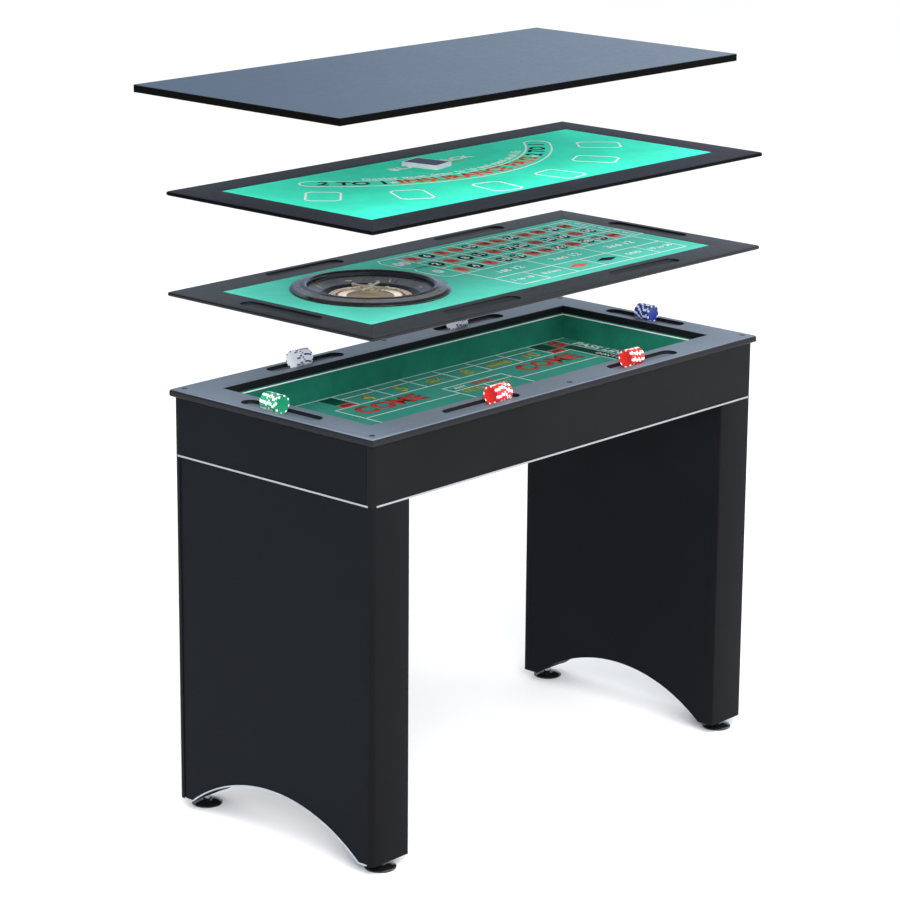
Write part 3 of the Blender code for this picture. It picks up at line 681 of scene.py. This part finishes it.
def proposition_box(page, right, wall, back):
    """Dice bets at the left end of the layout, two columns of paired dice."""
    x0, x1 = -wall + 0.006, right - 0.008
    page.strip("line_ink", [(x0, -0.200), (x1, -0.200), (x1, back), (x0, back)], LINE, closed=True)
    rows, columns = 4, 2
    for row in range(rows):
        for column in range(columns):
            x = x0 + (column + 0.5) * (x1 - x0) / columns
            y = back - (row + 0.5) * (back + 0.200) / rows
            spots = row + 1 + (1 if column else 0)
            for side in (-1, 1):
                die(page, x + side * 0.014, y + 0.012, 0.022, min(6, spots))
            page.text("yellow_ink", ("9 to 1", "7 to 1")[column], x, y - 0.022, 0.016, bold=0.0004)
    for row in range(1, rows):
        y = back - row * (back + 0.200) / rows
        page.rule(x0, y, x1, y)
    page.rule((x0 + x1) / 2, -0.200, (x0 + x1) / 2, back)


PIPS = {
    1: ((0, 0),),
    2: ((-1, 1), (1, -1)),
    3: ((-1, 1), (0, 0), (1, -1)),
    4: ((-1, 1), (1, 1), (-1, -1), (1, -1)),
    5: ((-1, 1), (1, 1), (0, 0), (-1, -1), (1, -1)),
    6: ((-1, 1), (1, 1), (-1, 0), (1, 0), (-1, -1), (1, -1)),
}


def die(page, x, y, size, spots):
    half = size / 2
    page.rect("red_ink", x - half, y - half, x + half, y + half)
    for u, v in PIPS[spots]:
        page.oval("white_ink", x + u * size * 0.28, y + v * size * 0.28, size * 0.09, size * 0.09, 10)


def wall_line():
    """White line woven into the wall cloth just under the rim."""
    low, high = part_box("wall_felt")
    inner = 0.0020
    x = (high.x - low.x) / 2 - inner
    y = (high.y - low.y) / 2 - inner
    z0, z1 = RIM_TOP - 0.0215, RIM_TOP - 0.0190
    work = bmesh.new()
    inset = 0.0003
    rings = []
    for reach, z in ((0.0, z0), (inset, z0), (inset, z1), (0.0, z1)):
        ring = []
        for sx, sy in ((-1, -1), (1, -1), (1, 1), (-1, 1)):
            ring.append(work.verts.new((sx * (x - reach), sy * (y - reach), z)))
        rings.append(ring)
    for i in range(4):
        for k in range(4):
            a, b = rings[i], rings[(i + 1) % 4]
            work.faces.new((a[k], a[(k + 1) % 4], b[(k + 1) % 4], b[k]))
    bmesh.ops.recalc_face_normals(work, faces=work.faces)
    obj = object_from(work, "wall_white_line", "white_ink")
    obj.location = (CENTRE.x, CENTRE.y, 0.0)
    add_piece(obj, "table", "craps_cloth")


# ------------------------ roulette wheel

WHEEL_ORDER = (
    "0 28 9 26 30 11 7 20 32 17 5 22 34 15 3 24 36 13 1 00 27 10 25 29 12 8 19 31 18 6 21 33 16 4 23 35 14 2"
).split()
RING_INNER, RING_OUTER = 0.0664, 0.0838


def bowl():
    """Bowl with a rolled lip, a ball track and a sloping inner cone."""
    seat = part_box("wheel_bowl")[0].z
    profile = [
        (0.0, -0.0194), (0.0034, -0.0194), (0.0040, -0.0200), (0.0040, -0.0310),
        (0.0870, -0.0310), (0.0870, -0.0190), (0.1010, -0.0104), (0.1262, -0.0014),
        (0.1278, 0.0006), (0.1288, 0.0072), (0.1303, 0.0104), (0.1338, 0.0118),
        (0.1382, 0.0113), (0.1440, 0.0100), (0.1560, 0.0066), (0.1632, 0.0034),
        (0.1650, 0.0010), (0.1645, -0.0026), (0.1364, -0.0026), (0.1355, -0.0110),
        (0.1120, -0.0220), (0.0920, seat - WHEEL.z), (0.0, seat - WHEEL.z),
    ]
    profile = soft_profile(profile, 0.0012)
    obj = turned("wheel_bowl_shell", profile, 144, "bowl", "bowl_painted_highlight", "bowl_cone")
    for polygon in obj.data.polygons:
        offset = polygon.center - WHEEL
        radius = math.hypot(offset.x, offset.y)
        # Up-facing faces on the ball track and on the flange's outer slope take the lighter grey, a painted
        # highlight; the inner cone takes the dark slate, the rest stays black.
        if polygon.normal.z > 0.3:
            slope = 0.1080 < radius < 0.1255 or 0.1425 < radius < 0.1590
            polygon.material_index = 1 if slope else 2 if radius < 0.1080 else 0
    add_piece(obj, "roulette_top", "bowl_plastic", "wheel_bowl")
    ball_stops()


def ball_stops():
    """Eight small diamonds on the slope between the ball track and the rotor."""
    work = bmesh.new()
    for k in range(8):
        angle = 2 * math.pi * (k + 0.5) / 8
        turn = Matrix.Rotation(angle, 4, "Z")
        tall = k % 2 == 0
        reach = (0.0075, 0.0026) if tall else (0.0026, 0.0075)
        place = Matrix.Translation((0.1130, 0.0, -0.0058)) @ Matrix.Rotation(-0.34, 4, "Y")
        shape = turn @ place @ Matrix.Diagonal((*reach, 0.0016, 1.0))
        bmesh.ops.create_uvsphere(work, u_segments=12, v_segments=8, radius=1.0, matrix=shape)
    obj = object_from(work, "wheel_ball_stops", "brass")
    obj.location = WHEEL
    smooth(obj)
    add_piece(obj, "roulette_top", "bowl_plastic")


def ring_sector(work, material, start, end, profile, steps=3):
    """Part of a turned ring between two angles, closed all round."""
    rings = []
    for k in range(steps + 1):
        angle = start + (end - start) * k / steps
        c, s = math.cos(angle), math.sin(angle)
        rings.append([work.verts.new((r * c, r * s, z)) for r, z in profile])
    faces = [work.faces.new(rings[0]), work.faces.new(rings[-1][::-1])]
    count = len(profile)
    for a, b in zip(rings, rings[1:]):
        for k in range(count):
            faces.append(work.faces.new((a[k], b[k], b[(k + 1) % count], a[(k + 1) % count])))
    for face in faces:
        face.material_index = material


def rotor():
    """Number ring and pockets, the base under them, the pale outer band and the cone."""
    work = bmesh.new()
    step = 2 * math.pi / len(WHEEL_ORDER)
    gap = 0.010
    low, outer_top, inner_top = -0.0160, -0.0136, -0.0127
    number_band = [(RING_INNER, low), (RING_OUTER, low), (RING_OUTER, outer_top), (RING_INNER, inner_top)]
    pocket = [(0.0500, -0.0200), (0.0654, -0.0200), (0.0654, -0.0168), (0.0500, -0.0166)]
    for k, words in enumerate(WHEEL_ORDER):
        green = words in ("0", "00")
        shade_index = 2 if green else int(number_colour(int(words)) == "red_spot")
        start = k * step
        ring_sector(work, shade_index, start + gap, start + step - gap, number_band)
        ring_sector(work, shade_index, start + gap, start + step - gap, pocket)
    bmesh.ops.recalc_face_normals(work, faces=work.faces)
    obj = object_from(work, "wheel_number_ring", "ring_black", "ring_red", "ring_green")
    obj.location = WHEEL
    add_piece(obj, "roulette_wheel", "rotor_plastic")

    body = [
        (0.0044, -0.0180), (0.0500, -0.0205), (0.0664, -0.0205), (0.0664, -0.0162),
        (0.0840, -0.0162), (0.0842, -0.0134), (0.0850, -0.0136), (0.0855, -0.0150),
        (0.0855, -0.0270), (0.0820, -0.0300), (0.0044, -0.0300),
    ]
    base = turned("wheel_rotor_base", body, 128, "rotor_base", crease=30)
    add_piece(base, "roulette_wheel", "rotor_plastic", "wheel_rotor")

    cone_profile = [
        (0.0044, -0.0066), (0.0170, -0.0066), (0.0200, -0.0072), (0.0300, -0.0098),
        (0.0310, -0.0092), (0.0330, -0.0092), (0.0340, -0.0104), (0.0480, -0.0128),
        (0.0490, -0.0150), (0.0490, -0.0204), (0.0044, -0.0180),
    ]
    outer = [(0.0834, -0.0150), (0.0852, -0.0150), (0.0852, -0.0132), (0.0846, -0.0128), (0.0836, -0.0130)]
    edge = turned("wheel_outer_band", outer, 128, "cream", crease=30)
    add_piece(edge, "roulette_wheel", "rotor_plastic")

    cone = turned("wheel_cone", soft_profile(cone_profile, 0.0006, 3), 96, "cone")
    add_piece(cone, "roulette_wheel", "rotor_plastic")
    frets(step)
    wheel_numbers(step)


def frets(step):
    """Thin cream walls between the pockets and the numbers, and the brass ring that divides the two."""
    work = bmesh.new()
    pocket_wall = (0.0576, -0.0162, (0.0170, 0.0007, 0.0060))
    number_wall = (0.0751, -0.0140, (0.0172, 0.0012, 0.0018))
    for k in range(len(WHEEL_ORDER)):
        turn = Matrix.Rotation(k * step, 4, "Z")
        for x, z, size in (pocket_wall, number_wall):
            place = turn @ Matrix.Translation((x, 0.0, z)) @ Matrix.Diagonal((*size, 1))
            bmesh.ops.create_cube(work, size=1.0, matrix=place)
    obj = object_from(work, "wheel_frets", "cream")
    obj.location = WHEEL
    add_piece(obj, "roulette_wheel", "turret_metal")
    ring = [(0.0646, -0.0180), (0.0668, -0.0180), (0.0668, -0.0126), (0.0660, -0.0122), (0.0646, -0.0130)]
    band = turned("wheel_ring_band", ring, 128, "brass", crease=30)
    add_piece(band, "roulette_wheel", "turret_metal")


def wheel_numbers(step):
    page = Print("wheel_numbers", "roulette_wheel", "rotor_plastic", 0.0)
    for k, words in enumerate(WHEEL_ORDER):
        angle = (k + 0.5) * step
        x = 0.0752 * math.cos(angle)
        y = 0.0752 * math.sin(angle)
        page.text("cream", words, x, y, 0.0112, angle - math.pi / 2, 0.0006)
    work = page.inks["cream"]
    for vertex in work.verts:
        radius = math.hypot(vertex.co.x, vertex.co.y)
        share = (radius - RING_INNER) / (RING_OUTER - RING_INNER)
        vertex.co.z = -0.0127 - 0.0009 * share + INK * 1.6
    obj = object_from(work, "wheel_numbers", "cream")
    obj.location = WHEEL
    thick = obj.modifiers.new("ink", "SOLIDIFY")
    thick.thickness = INK
    thick.offset = -1.0
    add_piece(obj, "roulette_wheel", "rotor_plastic")


def turret():
    """Turned column with a finial, and four arms with ball ends."""
    column = [
        (0.0, 0.0120), (0.0024, 0.0119), (0.0040, 0.0113), (0.0050, 0.0102),
        (0.0046, 0.0086), (0.0056, 0.0074), (0.0082, 0.0062), (0.0088, 0.0040),
        (0.0082, 0.0018), (0.0070, 0.0006), (0.0084, -0.0010), (0.0112, -0.0022),
        (0.0160, -0.0040), (0.0170, -0.0048), (0.0170, -0.0060), (0.0, -0.0060),
    ]
    body = turned("wheel_turret_column", soft_profile(column, 0.0012, 3), 48, "brass")
    add_piece(body, "roulette_wheel", "turret_metal", "wheel_turret")
    work = bmesh.new()
    for k in range(4):
        angle = math.radians(20 + 90 * k)
        out = Vector((math.cos(angle), math.sin(angle), 0.05)).normalized()
        root = Vector((0.0, 0.0, 0.0040))
        facing = out.to_track_quat("Z", "Y").to_matrix().to_4x4()
        for start, end, r0, r1 in ((0.006, 0.010, 0.0040, 0.0030), (0.010, 0.034, 0.0025, 0.0021)):
            place = Matrix.Translation(root + out * (start + end) / 2) @ facing
            bmesh.ops.create_cone(
                work, cap_ends=True, segments=16, radius1=r0, radius2=r1, depth=end - start, matrix=place
            )
        for at, radius, flat in ((0.012, 0.0033, 0.55), (0.0335, 0.0031, 0.5), (0.038, 0.0038, 1.0)):
            place = Matrix.Translation(root + out * at) @ facing @ Matrix.Diagonal((1, 1, flat, 1))
            bmesh.ops.create_uvsphere(work, u_segments=18, v_segments=12, radius=radius, matrix=place)
    arms = object_from(work, "wheel_turret_arms", "brass")
    arms.location = WHEEL
    smooth(arms, 40)
    add_piece(arms, "roulette_wheel", "turret_metal")


# ------------------------ chips and cards

CHIP_THICK = 0.0033
CHIP_STACKS = ("green", "white_left", "white_right", "blue", "red_left", "red_right")
CHIP_COLOURS = {
    "green": ((0.010, 0.24, 0.11), (0.80, 0.90, 0.86)),
    "white": ((0.97, 0.97, 1.0), (0.05, 0.05, 0.30)),
    "blue": ((0.012, 0.034, 0.30), (0.84, 0.86, 0.92)),
    "red": ((0.60, 0.022, 0.018), (0.90, 0.80, 0.80)),
}


def chip(work, at, turn, radius, share, segments=64, spots=8):
    """One chip about local X: two faces with a raised rim and an inlay, and edge spots all round."""
    t = CHIP_THICK / 2
    ease = 0.0004
    dish = 0.0002
    inlay = ((-t + dish, 0.0), (-t + dish, 0.0155))
    half = inlay + ((-t, 0.0160), (-t, radius - ease), (-t + ease, radius))
    rows = half + tuple((-x, r) for x, r in reversed(half))
    rings = []
    for x, r in rows:
        if r == 0.0:
            rings.append([work.verts.new((at + x, 0.0, 0.0))] * segments)
            continue
        ring = []
        for k in range(segments):
            angle = turn + 2 * math.pi * k / segments
            ring.append(work.verts.new((at + x, r * math.cos(angle), r * math.sin(angle))))
        rings.append(ring)
    per = segments // spots
    for i, (a, b) in enumerate(zip(rings, rings[1:])):
        outer = 2 <= i <= 6
        for k in range(segments):
            n = (k + 1) % segments
            corners = []
            for vertex in (a[k], a[n], b[n], b[k]):
                if vertex not in corners:
                    corners.append(vertex)
            face = work.faces.new(corners)
            face.smooth = True
            spotted = outer and k % per < share
            face.material_index = 2 if i in (0, 8) else int(spotted)


def chips():
    rng = random.Random(7)
    for stack in CHIP_STACKS:
        node = "chips_" + stack
        name = stack.split("_")[0]
        body, spot = CHIP_COLOURS[name]
        parts = (("_body", body, 0.34), ("_spot", spot, 0.34), ("_inlay", shade(body, 1.05), 0.36))
        for part, colour, roughness in parts:
            LOOKS[node + part] = moulded(node + part, colour, roughness, 0.35)
        low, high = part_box(node)
        size = high - low
        along_x = abs(size.y - size.z) < abs(size.x - size.z)
        length = size.x if along_x else size.y
        radius = size.z / 2
        count = round(length / CHIP_THICK)
        centre = (low + high) / 2
        work = bmesh.new()
        turn = rng.uniform(0.0, 1.0)
        for k in range(count):
            small = radius - 0.0003 - rng.uniform(0.0, 0.0006)
            share = 2 if name == "white" else 3
            turn += rng.choice((-0.20, 0.0, 0.06, 0.24))
            chip(work, (k + 0.5 - count / 2) * CHIP_THICK, turn, small, share)
        bmesh.ops.recalc_face_normals(work, faces=work.faces)
        obj = object_from(work, node + "_stack", node + "_body", node + "_spot", node + "_inlay")
        obj.location = centre
        obj.rotation_euler = (0.0, 0.0, 0.0 if along_x else math.pi / 2)
        obj.data.set_sharp_from_angle(angle=math.radians(30))
        add_piece(obj, node + "_stack", "chip_" + name, node)


def rounded_outline(wide, long_side, radius, steps=4):
    points = []
    for index, (sx, sy) in enumerate(((1, 1), (-1, 1), (-1, -1), (1, -1))):
        for k in range(steps + 1):
            angle = math.pi / 2 * (index + k / steps)
            x = sx * (wide / 2 - radius) + radius * math.cos(angle)
            y = sy * (long_side / 2 - radius) + radius * math.sin(angle)
            points.append((x, y))
    return points


def card_slab(work, outline, z0, z1, side, top):
    """One card, or a block of cards, with its own look for its edges and its upper face."""
    lower = [work.verts.new((x, y, z0)) for x, y in outline]
    upper = [work.verts.new((x, y, z1)) for x, y in outline]
    work.faces.new(lower[::-1]).material_index = side
    work.faces.new(upper).material_index = top
    count = len(outline)
    for k in range(count):
        n = (k + 1) % count
        work.faces.new((lower[k], lower[n], upper[n], upper[k])).material_index = side


def deck():
    """Deck of cards, squared by hand, so that each card lies a little off the next."""
    rng = random.Random(3)
    low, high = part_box("card_deck")
    centre = (low + high) / 2
    turn = math.radians(12.0)
    cards = 26
    high_each = (high.z - low.z) / cards
    outline = rounded_outline(0.0620, 0.0870, 0.003)
    work = bmesh.new()
    for k in range(cards):
        dx, dy = rng.uniform(-0.0004, 0.0004), rng.uniform(-0.0004, 0.0004)
        angle = turn + rng.uniform(-0.006, 0.006)
        z0 = low.z - centre.z + k * high_each
        card_slab(work, moved(outline, dx, dy, angle), z0, z0 + high_each * 0.86, 0, 1)
    back = rounded_outline(0.0540, 0.0790, 0.002)
    z = high.z - centre.z - high_each * 0.14
    card_slab(work, moved(back, dx, dy, angle), z, z + 0.0001, 2, 2)
    bmesh.ops.recalc_face_normals(work, faces=work.faces)
    obj = object_from(work, "card_deck_cards", "card_side", "card_white", "card_back")
    obj.location = centre
    add_piece(obj, "blackjack_top", "playing_cards", "card_deck")


# ------------------------ CAD nodes that keep their shape


def dress_frame():
    dress("rim_frame", "rim")
    dress("roulette_frame", "roulette_wrap")
    # The roulette frame's side faces get painted shade.
    two_faced("roulette_frame", "wrap_side_painted_shade", 0.6)
    for side in ("front", "back", "left", "right"):
        dress("blackjack_rail_" + side, "top_frame")
        # The rails' side faces get painted shade.
        two_faced("blackjack_rail_" + side, "near_black_painted_shade", 0.6)
        dress("trim_" + side, "trim", 0.0003)
    for side in ("front", "back"):
        dress("apron_" + side, "panel_long", 0.0006)
    for side in ("left", "right"):
        dress("apron_" + side, "panel_end", 0.0003)
        dress(f"leg_{side}_outer", "panel_end", 0.0003)
        dress(f"leg_{side}_inner", "panel_inner", 0.0003)
        dress(f"leg_{side}_soffit", "panel_inner")
        dress(f"leg_{side}_front", "post", 0.0005)
        dress(f"leg_{side}_back", "post", 0.0005)
        dress(f"arch_band_{side}", "band")
    for node in ("well_floor", "well_wall", "roulette_board", "blackjack_board"):
        dress(node, "board")
    dress("craps_felt", "craps")
    dress("wall_felt", "craps_wall")
    dress("roulette_felt", "roulette")
    dress("blackjack_felt", "blackjack")
    for index in range(1, 7):
        dress(f"screw_cap_{index}", "cap")
    for end in ("left_front", "left_back", "right_front", "right_back"):
        dress("foot_pad_" + end, "pad")
        dress("foot_stem_" + end, "steel")
    dress("dining_top", "dining", 0.0004)
    # The dining top's side faces get painted shade.
    two_faced("dining_top", "near_black_painted_shade")
    two_faced("dining_top", "board", -0.7)
    # Faces of the rim that turn sideways, its nosing and its groove walls get painted shade.
    two_faced("rim_frame", "rim_side_painted_shade", 0.75)


def two_faced(name, look, limit=0.7):
    """Gives every face that looks up less than this limit another look: a near-black painted shade on the
    sides of the rim, frames and dining top, and the bare board under the dining top.
    """
    obj = NODES[name]
    obj.data.materials.append(LOOKS[look])
    for polygon in obj.data.polygons:
        if polygon.normal.z < limit:
            polygon.material_index = len(obj.data.materials) - 1


# ------------------------ floor, light, camera

CAMERA_AIM = (0.12205, -0.09752, 0.81019)
CAMERA_DISTANCE = 6.6191
CAMERA_AZIMUTH = -49.1955
CAMERA_ELEVATION = 14.5835
CAMERA_ROLL = 0.8204
CAMERA_LENS = 124.06
CAMERA_SHIFT = (-0.09123, -0.05258)


def studio():
    bpy.ops.mesh.primitive_circle_add(vertices=96, radius=60.0, fill_type="NGON")
    floor = bpy.context.object
    floor.name = "studio_floor"
    look = Look("pale_floor", (0.90, 0.90, 0.90), 0.9, specular=0.1)
    look.drive("Base Color", look.ramp(look.noise(0.8), ((0.3, (0.88,) * 3), (0.7, (0.91,) * 3))))
    floor.data.materials.append(look.material)
    sky()
    area("key", (-3.5, -5.1, 7.6), (6.4, 6.4), 600.0, (1.0, 1.0, 1.0))
    front = area("front", (-5.7, -5.4, 3.9), (4.5, 3.0), 600.0, (1.0, 1.0, 1.0))
    front.visible_glossy = False
    area("fill", (5.0, -3.0, 3.5), (4.0, 3.0), 70.0, (1.0, 0.99, 0.97))


def sky():
    """Soft white overhead; a blue-grey horizon that is darker towards -X and +Y, seen in the satin tops."""
    world = bpy.data.worlds.new("studio")
    bpy.context.scene.world = world
    world.use_nodes = True
    tree = world.node_tree
    axes = tree.nodes.new("ShaderNodeSeparateXYZ")
    direction = tree.nodes.new("ShaderNodeTexCoord").outputs["Generated"]
    tree.links.new(direction, axes.inputs["Vector"])
    side = tree.nodes.new("ShaderNodeMath")
    side.operation = "SUBTRACT"
    tree.links.new(axes.outputs["X"], side.inputs[0])
    tree.links.new(axes.outputs["Y"], side.inputs[1])
    horizon = blend(tree, side.outputs["Value"], (-0.12, 0.24), (0.26, 0.36, 0.50), (0.60, 0.72, 0.92))
    whole = blend(tree, axes.outputs["Z"], (0.28, 0.75), horizon, (1.30, 1.30, 1.28))
    tree.links.new(whole, tree.nodes["Background"].inputs["Color"])


def blend(tree, value, span, low, high):
    """Mixes two colours, or an output and a colour, as a value crosses a span."""
    share = tree.nodes.new("ShaderNodeMapRange")
    share.interpolation_type = "SMOOTHSTEP"
    share.inputs["From Min"].default_value = span[0]
    share.inputs["From Max"].default_value = span[1]
    tree.links.new(value, share.inputs["Value"])
    mix = tree.nodes.new("ShaderNodeMix")
    mix.data_type = "RGBA"
    tree.links.new(share.outputs["Result"], mix.inputs[0])
    if isinstance(low, tuple):
        mix.inputs[6].default_value = (*low, 1.0)
    else:
        tree.links.new(low, mix.inputs[6])
    mix.inputs[7].default_value = (*high, 1.0)
    return mix.outputs[2]


def area(name, place, size, power, colour):
    light = bpy.data.lights.new(name, "AREA")
    light.shape = "RECTANGLE"
    light.size, light.size_y = size
    light.energy = power
    light.color = colour
    obj = bpy.data.objects.new(name, light)
    obj.location = place
    aim = Vector((0.0, 0.0, 0.8)) - Vector(place)
    obj.rotation_euler = aim.to_track_quat("-Z", "Y").to_euler()
    bpy.context.scene.collection.objects.link(obj)
    return obj


def camera():
    azimuth = math.radians(CAMERA_AZIMUTH)
    elevation = math.radians(CAMERA_ELEVATION)
    roll = math.radians(CAMERA_ROLL)
    right = Vector((math.cos(azimuth), math.sin(azimuth), 0.0))
    flat = math.cos(elevation)
    back = Vector((math.sin(azimuth) * flat, -math.cos(azimuth) * flat, math.sin(elevation)))
    up = back.cross(right)
    across = right * math.cos(roll) + up * math.sin(roll)
    upright = up * math.cos(roll) - right * math.sin(roll)
    data = bpy.data.cameras.new("camera")
    data.sensor_width = 36.0
    data.lens = CAMERA_LENS
    data.shift_x = CAMERA_SHIFT[0]
    data.shift_y = CAMERA_SHIFT[1]
    data.clip_end = 200.0
    obj = bpy.data.objects.new("camera", data)
    turn = Matrix((across, upright, back)).transposed().to_4x4()
    place = Vector(CAMERA_AIM) + back * CAMERA_DISTANCE
    obj.matrix_world = Matrix.Translation(place) @ turn
    bpy.context.scene.collection.objects.link(obj)
    bpy.context.scene.camera = obj


bpy.context.scene.view_settings.view_transform = "Standard"
camera()
studio()
dress_frame()
roulette_print()
blackjack_print()
craps_print()
wall_line()
bowl()
rotor()
turret()
chips()
deck()
